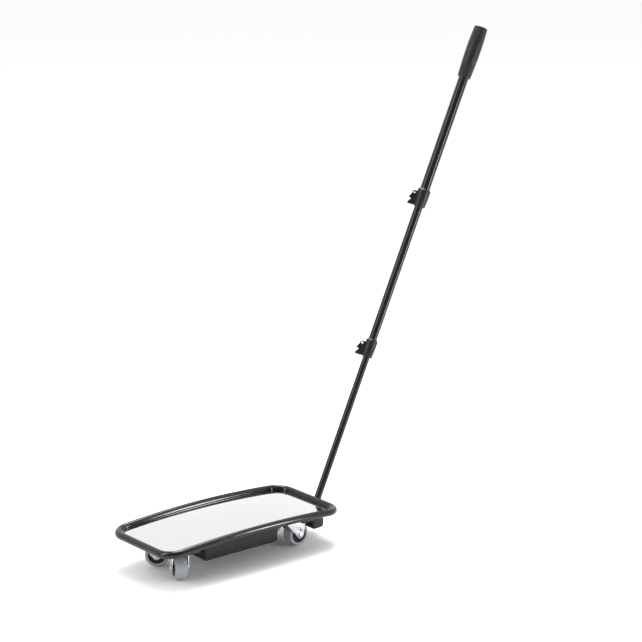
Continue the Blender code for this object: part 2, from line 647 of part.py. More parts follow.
def make_bracket(above_deck):
    """The bracket under the deck's end and the riveted clevis that the pole turns in."""
    low = (BRACKET_LEFT + SHIFT, -HOUSING_WIDTH / 2, BRACKET_BOTTOM)
    high = (BRACKET_RIGHT + SHIFT, HOUSING_WIDTH / 2, FRAME_HEIGHT)
    bracket = open_shell("foot_bracket", low, high, BRACKET_WALL, BRACKET_EDGE, "satin_black")
    add_cut(bracket, above_deck)
    shade(bracket)
    face = high[0] + GAP
    inner = EYE_WIDTH / 2 + GAP
    outer = inner + CLEVIS_CHEEK
    reach = EYE_RADIUS + CLEVIS_RIM
    corners = [(face, CLEVIS_BOTTOM), (PIVOT.x, PIVOT.z - reach), (PIVOT.x + EYE_RADIUS, PIVOT.z),
               (PIVOT.x, PIVOT.z + reach), (face, CLEVIS_TOP)]
    cheek = rounded(corners, [0.0, CLEVIS_NOTCH, CLEVIS_TIP, CLEVIS_NOTCH, 0.0])
    cheeks = plate_mesh("pivot_clevis", cheek, 2 * outer, UPRIGHT_XZ)
    clevis = add_object("pivot_clevis", cheeks, "black_paint")
    slot = box_mesh("clevis_slot", (face + CLEVIS_BASE, -inner, 0),
                    (PIVOT.x + 3 * EYE_RADIUS, inner, FRAME_HEIGHT))
    add_cut(clevis, add_object("clevis_slot", slot))
    base = box_mesh("clevis_base", (face, -CLEVIS_WIDTH / 2, CLEVIS_BOTTOM),
                    (face + CLEVIS_BASE, CLEVIS_WIDTH / 2, CLEVIS_TOP))
    add_cut(clevis, add_object("clevis_base", base), "UNION")
    pin = rod_mesh("clevis_bore", PIVOT_RADIUS + GAP, -2 * outer, 2 * outer, "Y")
    add_cut(clevis, add_object("clevis_bore", pin, None, Matrix.Translation(PIVOT)))
    rivet_z = (CLEVIS_BOTTOM + CLEVIS_TOP) / 2
    for side, place in (("near", -RIVET_SPREAD), ("far", RIVET_SPREAD)):
        spot = Matrix.Translation((0, place, rivet_z))
        hole = rod_mesh("rivet_hole", RIVET_RADIUS + GAP, high[0] - 2 * BRACKET_WALL,
                        face + 3 * CLEVIS_BASE, "X")
        cutter = add_object("rivet_hole_" + side, hole, None, spot)
        add_cut(clevis, cutter)
        add_cut(bracket, cutter)
        outside = face + CLEVIS_BASE + GAP
        inside = high[0] - BRACKET_WALL - GAP
        crown = outside + RIVET_HEAD_THICKNESS
        tail = inside - RIVET_HEAD_THICKNESS
        turned("clevis_rivet_" + side, [
            (0.0, crown), (RIVET_CROWN, crown), (RIVET_HEAD, outside), (RIVET_RADIUS, outside),
            (RIVET_RADIUS, inside), (RIVET_HEAD, inside), (RIVET_CROWN, tail), (0.0, tail)],
            "steel", spot @ Matrix.Rotation(pi / 2, 4, "Y"), sides=SMALL)
    shade(clevis)
    cheek_face = outer + GAP
    along_y = Matrix.Translation(PIVOT) @ Matrix.Rotation(pi / 2, 4, "X")
    head_end = cheek_face + PIVOT_HEAD_THICKNESS
    stub = cheek_face + PIVOT_STUB
    turned("pivot_bolt", [
        (0.0, head_end), (PIVOT_HEAD, head_end), (PIVOT_HEAD, cheek_face), (PIVOT_RADIUS, cheek_face),
        (PIVOT_RADIUS, -stub), (0.0, -stub)], "zinc", along_y, sides=BORE_SIDES)
    nut_mesh = rod_mesh("pivot_nut", PIVOT_HEAD, cheek_face, head_end, "Y", HEXAGON)
    nut = add_object("pivot_nut", nut_mesh, "zinc", Matrix.Translation(PIVOT))
    add_cut(nut, bpy.data.objects["clevis_bore"])


def make_foot(lower):
    """The knuckle: a flat eye on the pivot and a spigot inside the lower tube."""
    bore = LOWER_TUBE - TUBE_WALL - GAP
    shoulder = FOOT_LENGTH - GAP
    end = FOOT_LENGTH + FOOT_INSERT
    foot = turned("pole_knuckle", [
        (0.0, end), (bore - LEAD_IN, end), (bore, end - LEAD_IN), (bore, shoulder), (LOWER_TUBE, shoulder),
        (LOWER_TUBE, shoulder - FOOT_COLLAR), (FOOT_NECK, FOOT_NECK_START), (0.0, FOOT_NECK_START)],
        "zinc", Matrix(), lower)
    eye = rod_mesh("knuckle_eye", EYE_RADIUS, -EYE_WIDTH / 2, EYE_WIDTH / 2, "Y", ROUND)
    hole = rod_mesh("knuckle_bore", PIVOT_RADIUS + GAP, -EYE_WIDTH, EYE_WIDTH, "Y")
    add_cut(foot, add_object("knuckle_eye", eye, None, Matrix(), lower), "UNION")
    add_cut(foot, add_object("knuckle_bore", hole, None, Matrix(), lower))
    shade(foot)


def make_tube(name, radius, low, high, parent):
    turned(name, ring_profile(radius, radius - TUBE_WALL, low, high), "black_paint", Matrix(), parent)


def make_bush(name, tube, outer_tube, top, parent):
    """Guide bush on the upper end of an inner tube, running in the outer tube."""
    outer = outer_tube - TUBE_WALL - BUSH_PLAY
    inner = tube - TUBE_WALL - GAP
    bore = inner - END_PLUG_WALL
    turned(name, [
        (bore, top + GAP + BUSH_SHOULDER), (outer, top + GAP + BUSH_SHOULDER), (outer, top + GAP),
        (inner, top + GAP), (inner, top - BUSH_LENGTH), (bore, top - BUSH_LENGTH),
        (bore, top + GAP + BUSH_SHOULDER)], "black_plastic", Matrix(), parent)


def lever_outline(outside):
    """Side view of a lever from its pin, in XZ: it hangs beside the collar and has two lobes."""
    inner = PIN_REACH - outside - LEVER_CLEAR
    outline = [(p.x, p.y) for p in circle((0.0, 0.0), LEVER_ROOT, 20, 180, 5)]
    for drop in (UPPER_LOBE, LOWER_LOBE):
        outline += [(p.x, p.y) for p in circle((-LOBE_REACH, -drop), LOBE_RADIUS, 130, 250, 3)]
        outline.append((-LOBE_REACH + LOBE_RADIUS, -drop - LOBE_RADIUS))
    outline[-1] = (inner, -LOWER_LOBE - LOBE_RADIUS)
    outline.append((inner, -LEVER_ROOT))
    return outline


def make_clamp(which, low, inner_tube, outer_tube, slide):
    """A split collar with two ears, a finger lever between them and a tubular rivet."""
    top = low + CLAMP_LENGTH
    step = low + CLAMP_GRIP
    outside = outer_tube + GAP + CLAMP_WALL
    parent = add_empty(f"clamp_{which}", Matrix.Rotation(CLAMP_TURN, 4, "Z"), slide)
    collar = turned(f"clamp_collar_{which}", [
        (inner_tube / 2, top), (outside - CLAMP_CHAMFER, top), (outside, top - CLAMP_CHAMFER_DROP),
        (outside, step + CLAMP_SHOULDER), (outside - CLAMP_TAPER, low), (inner_tube / 2, low),
        (inner_tube / 2, top)], "black_plastic", Matrix(), parent)
    pin_height = low + PIN_HEIGHT
    half_ears = LEVER_WIDTH / 2 + GAP + EAR_THICKNESS
    ears = [(0.0, pin_height + EAR_RADIUS), (0.0, low + EAR_LIFT), (-outside, low + EAR_LIFT)]
    ears += [(p.x, p.y) for p in circle((-PIN_REACH, pin_height), EAR_RADIUS, 225, 90, 5)]
    lug = add_object(f"ears_{which}", plate_mesh(f"ears_{which}", ears, 2 * half_ears, UPRIGHT_XZ),
                     None, Matrix(), parent)
    add_cut(collar, lug, "UNION")
    fits = (("grip_bore", inner_tube + GAP, low - LEAD_IN, step + LEAD_IN),
            ("seat_bore", outer_tube + GAP, step, top + LEAD_IN))
    for kind, radius, start, end in fits:
        rod = rod_mesh(f"{kind}_{which}", radius, start, end, sides=ROUND)
        add_cut(collar, add_object(f"{kind}_{which}", rod, None, Matrix(), parent))
    far = -PIN_REACH - 3 * EAR_RADIUS
    split = box_mesh(f"split_{which}", (far, -CLAMP_SPLIT / 2, low - LEAD_IN),
                     (0.0, CLAMP_SPLIT / 2, step + LEAD_IN))
    add_cut(collar, add_object(f"split_{which}", split, None, Matrix(), parent))
    room = box_mesh(f"lever_room_{which}", (far, -LEVER_WIDTH / 2 - GAP, low - LEAD_IN),
                    (-outside - GAP, LEVER_WIDTH / 2 + GAP, pin_height + 2 * EAR_RADIUS))
    add_cut(collar, add_object(f"lever_room_{which}", room, None, Matrix(), parent))
    bore = rod_mesh(f"pin_bore_{which}", PIN_RADIUS + GAP, -2 * half_ears, 2 * half_ears, "Y", SMALL)
    at_pin = Matrix.Translation((-PIN_REACH, 0, pin_height))
    add_cut(collar, add_object(f"pin_bore_{which}", bore, None, at_pin, parent))
    shade(collar)
    axis = add_empty(f"clamp_axis_{which}", at_pin, parent)
    turned(f"clamp_pin_{which}", ring_profile(PIN_RADIUS, PIN_BORE, -half_ears, half_ears), "zinc",
           Matrix.Rotation(pi / 2, 4, "X"), axis, SMALL)
    lever = add_object(f"clamp_lever_{which}",
                       plate_mesh(f"clamp_lever_{which}", lever_outline(outside), LEVER_WIDTH, UPRIGHT_XZ),
                       "black_plastic", Matrix(), axis)
    hole = rod_mesh(f"lever_bore_{which}", PIN_RADIUS + GAP, -LEVER_WIDTH, LEVER_WIDTH, "Y", SMALL)
    add_cut(lever, add_object(f"lever_bore_{which}", hole, None, Matrix(), axis))
    shade(lever)


def grip_profile(steps=9):
    """Barrel grip with a closed upper end, thickest above its middle."""
    bore = UPPER_TUBE + GAP
    outline = []
    for i in range(steps + 1):
        share = 1 - i / steps
        reach = (1 - share) / (1 - GRIP_BELLY) if share > GRIP_BELLY else share / GRIP_BELLY
        radius = GRIP_END_RADIUS + (GRIP_RADIUS - GRIP_END_RADIUS) * sin(pi / 2 * reach)
        outline.append((radius, GRIP_START + share * GRIP_LENGTH))
    inner_top = GRIP_TOP - GRIP_WALL_END
    return [(0.0, GRIP_TOP), *outline, (bore, GRIP_START), (bore, inner_top), (0.0, inner_top)]


def make_pole():
    """Three telescoping tubes, each carried by an empty on the pole's axis."""
    lower = add_empty("pole_hinge", POLE)
    make_foot(lower)
    lower_top = LOWER_CLAMP + CLAMP_GRIP + OVERLAP
    make_tube("lower_tube", LOWER_TUBE, FOOT_LENGTH, lower_top, lower)
    make_bush("lower_bush", LOWER_TUBE, MIDDLE_TUBE, lower_top, lower)
    middle = add_empty("pole_middle_slide", Matrix(), lower)
    middle_low = LOWER_CLAMP + CLAMP_GRIP + TUBE_SEAT
    middle_top = UPPER_CLAMP + CLAMP_GRIP + OVERLAP
    make_tube("middle_tube", MIDDLE_TUBE, middle_low, middle_top, middle)
    make_clamp("lower", LOWER_CLAMP, LOWER_TUBE, MIDDLE_TUBE, middle)
    make_bush("middle_bush", MIDDLE_TUBE, UPPER_TUBE, middle_top, middle)
    upper = add_empty("pole_upper_slide", Matrix(), middle)
    upper_low = UPPER_CLAMP + CLAMP_GRIP + TUBE_SEAT
    upper_top = GRIP_TOP - GRIP_WALL_END - 2 * GAP - BUSH_SHOULDER
    make_tube("upper_tube", UPPER_TUBE, upper_low, upper_top, upper)
    make_clamp("upper", UPPER_CLAMP, MIDDLE_TUBE, UPPER_TUBE, upper)
    turned("grip", grip_profile(), "grip_rubber", Matrix(), upper)
    plug = UPPER_TUBE - TUBE_WALL - GAP
    inside = plug - END_PLUG_WALL
    seat = upper_top + GAP
    cap_low = upper_top - END_PLUG_LENGTH
    cap_inside = upper_top - END_PLUG_HEAD
    turned("upper_tube_cap", [
        (0.0, seat + END_PLUG_HEAD), (UPPER_TUBE, seat + END_PLUG_HEAD), (UPPER_TUBE, seat), (plug, seat),
        (plug, cap_low), (inside, cap_low), (inside, cap_inside), (0.0, cap_inside)],
        "black_plastic", Matrix(), upper)


def main():
    deck = make_frame()
    above_deck = arched_block("above_deck", 4 * FRAME_HEIGHT, 4 * FRAME_HEIGHT - DECK_BOTTOM + GAP)
    make_cross_bars(above_deck)
    make_housing(deck, above_deck)
    make_bracket(above_deck)
    fork_mesh = make_fork_mesh()
    for corner, x, y in (("front_left", BAR_LEFT_X, -CASTER_Y), ("back_left", BAR_LEFT_X, CASTER_Y),
                         ("front_right", BAR_RIGHT_X, -CASTER_Y), ("back_right", BAR_RIGHT_X, CASTER_Y)):
        make_caster(corner, x, y, fork_mesh)
    make_pole()


main()
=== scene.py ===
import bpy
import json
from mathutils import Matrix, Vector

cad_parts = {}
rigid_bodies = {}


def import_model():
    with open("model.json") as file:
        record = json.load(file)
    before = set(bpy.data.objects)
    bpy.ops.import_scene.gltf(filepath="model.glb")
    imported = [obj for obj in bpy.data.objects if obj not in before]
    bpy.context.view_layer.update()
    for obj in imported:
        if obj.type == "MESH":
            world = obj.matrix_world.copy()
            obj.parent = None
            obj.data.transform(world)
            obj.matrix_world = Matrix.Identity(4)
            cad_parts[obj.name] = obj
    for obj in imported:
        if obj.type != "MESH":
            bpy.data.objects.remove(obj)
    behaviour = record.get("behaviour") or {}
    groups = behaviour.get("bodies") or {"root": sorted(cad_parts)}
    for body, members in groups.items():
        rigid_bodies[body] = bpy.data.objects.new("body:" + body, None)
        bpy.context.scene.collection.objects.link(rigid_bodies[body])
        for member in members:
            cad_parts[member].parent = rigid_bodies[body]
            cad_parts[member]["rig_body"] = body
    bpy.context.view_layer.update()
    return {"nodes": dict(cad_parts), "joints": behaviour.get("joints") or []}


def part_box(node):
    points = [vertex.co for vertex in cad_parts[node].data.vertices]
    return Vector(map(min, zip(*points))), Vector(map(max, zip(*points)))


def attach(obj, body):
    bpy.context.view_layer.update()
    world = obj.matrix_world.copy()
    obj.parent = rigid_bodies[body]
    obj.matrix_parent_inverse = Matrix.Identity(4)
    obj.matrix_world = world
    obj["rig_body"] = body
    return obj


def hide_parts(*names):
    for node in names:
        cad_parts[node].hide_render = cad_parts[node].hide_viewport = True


bl_info = {
    "name": "Inspection Mirror",
    "version": (1, 0, 0),
    "blender": (4, 5, 0),
    "location": "3D View > Sidebar > Mirror",
    "description": "Finishes a wheeled inspection mirror with a telescopic pole and sets it in a studio",
    "category": "Add Mesh",
}

import json
from math import cos, pi, radians, sin

import bpy
from bpy.props import FloatProperty, FloatVectorProperty, IntProperty, PointerProperty
from mathutils import Matrix, Vector

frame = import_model()
JOINTS = {joint["name"]: joint for joint in frame["joints"]}
CORNERS = ("front_left", "back_left", "front_right", "back_right")
POLE_FOOT = Vector(JOINTS["pole_tilt"]["pos_m"])
POLE_LINE = Vector(JOINTS["upper_slide"]["axis"]).normalized()
SMOOTH_ANGLE = radians(35)


# ---------------------------------------------------------------- places taken from the frame

def axis_frame(origin, axis):
    """A matrix that puts a piece turned round Z on a line through origin."""
    return Matrix.Translation(origin) @ Vector(axis).to_track_quat("Z", "Y").to_matrix().to_4x4()


def along(node, origin, axis):
    """(lowest, highest, widest) of a CAD node, measured along and away from an axis."""
    line = Vector(axis).normalized()
    spots = [vertex.co - Vector(origin) for vertex in frame["nodes"][node].data.vertices]
    heights = [spot.dot(line) for spot in spots]
    reach = max((spot - line * height).length for spot, height in zip(spots, heights))
    return min(heights), max(heights), reach


def pole_span(node):
    return along(node, POLE_FOOT, POLE_LINE)


# ---------------------------------------------------------------- modelling steps

def deselect():
    if bpy.context.object and bpy.context.object.mode != "OBJECT":
        bpy.ops.object.mode_set(mode="OBJECT")
    bpy.ops.object.select_all(action="DESELECT")


def pick(piece):
    """Makes the piece the only selected and the active object."""
    deselect()
    piece.select_set(True)
    bpy.context.view_layer.objects.active = piece


def edit(piece):
    pick(piece)
    bpy.ops.object.mode_set(mode="EDIT")
    bpy.ops.mesh.select_all(action="SELECT")


def finish_edit():
    bpy.ops.object.mode_set(mode="OBJECT")


def bake_place(piece):
    pick(piece)
    bpy.ops.object.transform_apply(location=True, rotation=True, scale=True)


def put(piece, matrix):
    """Moves the piece's mesh, so that its object stays at the origin."""
    piece.data.transform(matrix)
    piece.data.update()


def add_modifier(piece, kind, **settings):
    """Adds a modifier and applies it at once."""
    pick(piece)
    modifier = piece.modifiers.new(kind.lower(), kind)
    for name, value in settings.items():
        setattr(modifier, name, value)
    bpy.ops.object.modifier_apply(modifier=modifier.name)


def soften(piece, width, segments=2, angle=radians(30)):
    add_modifier(piece, "BEVEL", width=width, segments=segments, limit_method="ANGLE", angle_limit=angle)


def smooth(piece, angle=SMOOTH_ANGLE):
    pick(piece)
    bpy.ops.object.shade_smooth_by_angle(angle=angle)


def draw_out(name, profile, sides=64, caps=True):
    """Draws a ring out along (radius, height) steps, by extruding and resizing its rim."""
    deselect()
    radius, height = profile[0]
    bpy.ops.mesh.primitive_circle_add(vertices=sides, radius=radius, location=(0, 0, height),
                                      fill_type="NGON" if caps else "NOTHING")
    piece = bpy.context.object
    piece.name = name
    bake_place(piece)
    edit(piece)
    if caps:
        bpy.ops.mesh.region_to_loop()
    for (r0, z0), (r1, z1) in zip(profile, profile[1:]):
        bpy.ops.mesh.extrude_edges_move(TRANSFORM_OT_translate={"value": (0, 0, z1 - z0)})
        bpy.ops.transform.resize(value=(r1 / r0, r1 / r0, 1), center_override=(0, 0, z1))
    if caps:
        bpy.ops.mesh.edge_face_add()
    bpy.ops.mesh.select_all(action="SELECT")
    bpy.ops.mesh.remove_doubles(threshold=0.000005)
    bpy.ops.mesh.normals_make_consistent(inside=False)
    finish_edit()
    smooth(piece)
    return piece


def arc(centre, radius, start, end, steps):
    """Points round a centre in a profile, between two angles in degrees."""
    turns = [radians(start + (end - start) * i / steps) for i in range(steps + 1)]
    return [(centre[0] + radius * cos(turn), centre[1] + radius * sin(turn)) for turn in turns]


def refine(node, edge, segments=2):
    """A merged copy of a CAD node with its edges rounded."""
    piece = bpy.data.objects.new("fine_" + node, frame["nodes"][node].data.copy())
    bpy.context.scene.collection.objects.link(piece)
    piece.data.materials.clear()
    edit(piece)
    bpy.ops.mesh.remove_doubles(threshold=0.000002)
    bpy.ops.mesh.dissolve_limited(angle_limit=radians(0.2))
    finish_edit()
    soften(piece, edge, segments)
    smooth(piece)
    return piece


def stand_for(piece, look, *nodes):
    """Gives the piece its look and shows it in place of the CAD nodes."""
    piece.data.materials.clear()
    piece.data.materials.append(look)
    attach(piece, frame["nodes"][nodes[0]]["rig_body"])
    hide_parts(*nodes)


# ---------------------------------------------------------------- materials

class Wire:
    """A socket's value, which can be added and multiplied in Python."""

    def __init__(self, maker, socket):
        self.maker = maker
        self.socket = socket

    def combine(self, operation, first, second):
        return self.maker.node("ShaderNodeMath", {"operation": operation}, {0: first, 1: second})

    def __add__(self, other):
        return self.combine("ADD", self, other)

    def __radd__(self, other):
        return self.combine("ADD", other, self)

    def __mul__(self, other):
        return self.combine("MULTIPLY", self, other)


class Finish:
    """One material, built from node expressions."""

    def __init__(self, name, colour, roughness, metallic=0.0, specular_level=0.5):
        self.material = bpy.data.materials.new(name)
        self.material.use_nodes = True
        self.tree = self.material.node_tree
        self.shader = self.tree.nodes["Principled BSDF"]
        self.set("Base Color", (*colour, 1.0))
        self.set("Roughness", roughness)
        self.set("Metallic", metallic)
        self.set("Specular IOR Level", specular_level)

    def node(self, kind, settings=None, inputs=None, output=0):
        made = self.tree.nodes.new(kind)
        for name, value in (settings or {}).items():
            setattr(made, name, value)
        for name, value in (inputs or {}).items():
            self.feed(made.inputs[name], value)
        return Wire(self, made.outputs[output])

    def feed(self, socket, value):
        if isinstance(value, Wire):
            self.tree.links.new(value.socket, socket)
        else:
            socket.default_value = value

    def set(self, name, value):
        self.feed(self.shader.inputs[name], value)

    def place(self):
        return self.node("ShaderNodeTexCoord", output="Object")

    def noise(self, scale, detail=3.0, stretch=(1, 1, 1)):
        spot = self.node("ShaderNodeMapping", inputs={"Vector": self.place(), "Scale": stretch})
        return self.node("ShaderNodeTexNoise", inputs={"Vector": spot, "Scale": scale, "Detail": detail})

    def span(self, value, low, high, to_low=0.0, to_high=1.0):
        """Maps a range of the value to another, held at its ends."""
        return self.node("ShaderNodeMapRange", {"clamp": True}, {
            "Value": value, "From Min": low, "From Max": high, "To Min": to_low, "To Max": to_high})

    def blend(self, share, first, second):
        """A colour between two, by a share."""
        mix = self.tree.nodes.new("ShaderNodeMix")
        mix.data_type = "RGBA"
        self.feed(mix.inputs["Factor"], share)
        sockets = [socket for socket in mix.inputs if socket.type == "RGBA"]
        self.feed(sockets[0], first)
        self.feed(sockets[1], second)
        return Wire(self, next(socket for socket in mix.outputs if socket.type == "RGBA"))

    def bump(self, height, distance, strength=1.0):
        self.set("Normal", self.node("ShaderNodeBump", inputs={
            "Height": height, "Distance": distance, "Strength": strength}))


def tinted(colour, share):
    return (*[min(1.0, value * share) for value in colour], 1.0)


def gloss_paint(look):
    """Stove enamel on the frame: deep gloss with a faint orange peel and fine dust."""
    made = Finish("frame_enamel", look.frame_colour, look.frame_gloss, 0.0, look.paint_sheen)
    peel = made.noise(320.0, 2.0)
    dust = made.span(made.noise(45.0, 6.0), 0.45, 0.8)
    made.set("Base Color", made.blend(dust * 0.35, tinted(look.frame_colour, 1.0),
                                      tinted(look.frame_colour, 1.8)))
    made.set("Roughness", look.frame_gloss + dust * 0.06)
    made.bump(peel, 0.00012, 0.35)
    return made.material


def pole_paint(look):
    """Thinner enamel on the pole, rubbed a little along its length."""
    made = Finish("pole_enamel", look.pole_colour, look.pole_gloss, 0.0, look.paint_sheen)
    rubbed = made.span(made.noise(60.0, 5.0), 0.5, 0.85)
    grain = made.noise(900.0, 2.0)
    made.set("Base Color", made.blend(rubbed * 0.4, tinted(look.pole_colour, 1.0),
                                      tinted(look.pole_colour, 2.2)))
    made.set("Roughness", look.pole_gloss + rubbed * 0.12)
    made.bump(grain, 0.00006, 0.3)
    return made.material


def satin_paint(look):
    """Powder coat on the deck, bars, housing and bracket."""
    made = Finish("powder_coat", look.underside_colour, 0.42, 0.0, 0.28)
    grit = made.noise(1400.0, 2.0)
    dust = made.span(made.noise(28.0, 6.0), 0.42, 0.75)
    made.set("Base Color", made.blend(dust * 0.5, tinted(look.underside_colour, 1.0),
                                      tinted(look.underside_colour, 2.2)))
    made.set("Roughness", 0.38 + dust * 0.16)
    made.bump(grit, 0.0001, 0.5)
    return made.material


def mirror_face(look):
    """Silvered acrylic with a trace of dust and wiping marks."""
    made = Finish("silvered_acrylic", look.mirror_colour, 0.03, 1.0)
    haze = made.span(made.noise(9.0, 6.0), 0.45, 0.8)
    wiped = made.noise(30.0, 3.0, (0.35, 3.0, 1.0))
    made.set("Base Color", made.blend(haze * 0.35, tinted(look.mirror_colour, 1.0),
                                      tinted(look.mirror_colour, 0.97)))
    made.set("Roughness", 0.018 + haze * 0.03 + made.span(wiped, 0.45, 0.8, 0.0, 0.02))
    return made.material


def zinc_plate(look):
    """Bright zinc on pressed steel, with a fine spangle and duller patches."""
    made = Finish("zinc_plate", look.zinc_colour, 0.3, 0.9)
    patch = made.span(made.noise(120.0, 5.0), 0.4, 0.7)
    scratch = made.noise(700.0, 2.0, (1.0, 1.0, 0.12))
    made.set("Base Color", made.blend(patch, tinted(look.zinc_colour, 0.9), tinted(look.zinc_colour, 1.06)))
    made.set("Roughness", 0.24 + patch * 0.14 + made.span(scratch, 0.45, 0.75, 0.0, 0.08))
    made.bump(scratch, 0.00004, 0.4)
    return made.material


def black_plastic(look):
    """Moulded nylon of the hubs, clamps and bushes."""
    made = Finish("black_nylon", look.plastic_colour, 0.4, 0.0, 0.32)
    grain = made.noise(1800.0, 2.0)
    worn = made.span(made.noise(80.0, 5.0), 0.5, 0.8)
    made.set("Base Color", made.blend(worn * 0.5, tinted(look.plastic_colour, 1.0),
                                      tinted(look.plastic_colour, 2.0)))
    made.set("Roughness", 0.34 + worn * 0.16)
    made.bump(grain, 0.00008, 0.5)
    return made.material


def tyre_rubber(look):
    """Non-marking grey rubber, slightly dusty."""
    made = Finish("grey_rubber", look.tyre_colour, 0.6)
    dust = made.span(made.noise(140.0, 6.0), 0.4, 0.75)
    grain = made.noise(1500.0, 3.0)
    made.set("Base Color", made.blend(dust * 0.6, tinted(look.tyre_colour, 0.93),
                                      tinted(look.tyre_colour, 1.12)))
    made.set("Roughness", 0.5 + dust * 0.18)
    made.bump(grain, 0.0001, 0.5)
    return made.material


def grip_rubber(look):
    """Soft rubber of the grip, with a fine moulded grain."""
    made = Finish("grip_rubber", look.grip_colour, 0.45, 0.0, 0.35)
    grain = made.noise(1300.0, 3.0)
    worn = made.span(made.noise(60.0, 5.0), 0.45, 0.8)
    made.set("Base Color", made.blend(worn * 0.5, tinted(look.grip_colour, 1.0),
                                      tinted(look.grip_colour, 1.9)))
    made.set("Roughness", 0.36 + worn * 0.18)
    made.bump(grain, 0.00012, 0.5)
    return made.material


def raw_steel(look):
    """Sawn bar with mill scale, for the ballast."""
    made = Finish("mill_scale_steel", (0.16, 0.16, 0.165), 0.5, 0.8)
    scale = made.span(made.noise(70.0, 6.0), 0.4, 0.7)
    saw = made.noise(260.0, 2.0, (8.0, 1.0, 1.0))
    made.set("Base Color", made.blend(scale, (0.10, 0.09, 0.09, 1.0), (0.24, 0.24, 0.25, 1.0)))
    made.set("Roughness", 0.42 + scale * 0.25)
    made.bump(saw, 0.0001, 0.4)
    return made.material


FINISHES = {
    "frame": gloss_paint, "pole": pole_paint, "underside": satin_paint, "mirror": mirror_face,
    "zinc": zinc_plate, "plastic": black_plastic, "tyre": tyre_rubber, "grip": grip_rubber,
    "ballast": raw_steel,
}
MADE = {}


def finish_of(name):
    """The named material, made the first time it is asked for."""
    if name not in MADE:
        MADE[name] = FINISHES[name](bpy.context.scene.inspection_mirror)
    return MADE[name]


# ---------------------------------------------------------------- sizes and colours

def colour_property(name, description, value):
    return FloatVectorProperty(name=name, description=description, default=value, subtype="COLOR",
                               size=3, min=0.0, max=1.0)


class InspectionMirrorSettings(bpy.types.PropertyGroup):
    """Sizes and colours that a user may change."""

    tube_radius: FloatProperty(name="Frame tube", description="Outer radius of the frame's tube",
                               default=0.008, unit="LENGTH")
    corner_radius: FloatProperty(name="Frame corner", description="Corner radius on the tube's centreline",
                                 default=0.0364, unit="LENGTH")
    bulge: FloatProperty(name="Side bulge", description="How far the long sides stand out at their middle",
                         default=0.0017, unit="LENGTH")
    arch: FloatProperty(name="Arch", description="How much lower the frame is at its ends",
                        default=0.0102, unit="LENGTH")
    mirror_drop: FloatProperty(name="Mirror drop", description="Mirror face below the tube's centre",
                               default=0.002, unit="LENGTH")
    mirror_thickness: FloatProperty(name="Mirror thickness", description="Thickness of the mirror",
                                    default=0.003, unit="LENGTH")
    tube_wall: FloatProperty(name="Pole wall", description="Wall of the pole's tubes", default=0.001,
                             unit="LENGTH")
    mirror_dome: FloatProperty(name="Mirror dome", description="Rise of the mirror's middle above its edges",
                               default=0.004, unit="LENGTH")
    rib_depth: FloatProperty(name="Grip ribs", description="Depth of the grip's slanted ribs",
                             default=0.0011, unit="LENGTH")
    rib_count: IntProperty(name="Rib starts", description="Slanted ribs round the grip", default=18, min=1)
    frame_gloss: FloatProperty(name="Frame roughness", description="Roughness of the frame's enamel",
                               default=0.09)
    pole_gloss: FloatProperty(name="Pole roughness", description="Roughness of the pole's enamel",
                              default=0.17)
    paint_sheen: FloatProperty(name="Enamel sheen", description="How strongly the black enamels reflect",
                               default=0.38, min=0.0, max=1.0)
    frame_colour: colour_property("Frame", "Enamel of the frame", (0.0065, 0.0060, 0.0080))
    pole_colour: colour_property("Pole", "Enamel of the pole", (0.0065, 0.0062, 0.0080))
    underside_colour: colour_property("Underside", "Powder coat under the deck", (0.0105, 0.0095, 0.0135))
    mirror_colour: colour_property("Mirror", "Silvered acrylic", (0.655, 0.645, 0.650))
    zinc_colour: colour_property("Zinc", "Zinc plate of the casters", (0.72, 0.73, 0.74))
    plastic_colour: colour_property("Plastic", "Hubs, clamps and bushes", (0.0085, 0.0083, 0.0100))
    tyre_colour: colour_property("Tyre", "Grey rubber", (0.34, 0.36, 0.385))
    grip_colour: colour_property("Grip", "Rubber of the grip", (0.0110, 0.0100, 0.0135))


# ---------------------------------------------------------------- frame and mirror

class ArchedFrame:
    """The frame's plan and arch, read from the frame tube's box."""

    def __init__(self, look):
        low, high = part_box("frame_tube")
        self.look = look
        self.middle = (low.x + high.x) / 2
        self.half_x = (high.x - low.x) / 2 - look.tube_radius
        self.half_y = (high.y - low.y) / 2 - look.tube_radius - look.bulge
        self.top = high.z - look.tube_radius

    def bow(self, piece):
        """Bends a flat piece into the arch and bows its long sides."""
        run = self.half_x - self.look.corner_radius
        for vertex in piece.data.vertices:
            x, y, z = vertex.co
            share = max(0.0, 1 - (x / run) ** 2)
            side = max(-1.0, min(1.0, y / self.half_y))
            vertex.co = (x + self.middle, y + side * self.look.bulge * share,
                         z + self.top - self.look.arch * (x / self.half_x) ** 2)
        piece.data.update()


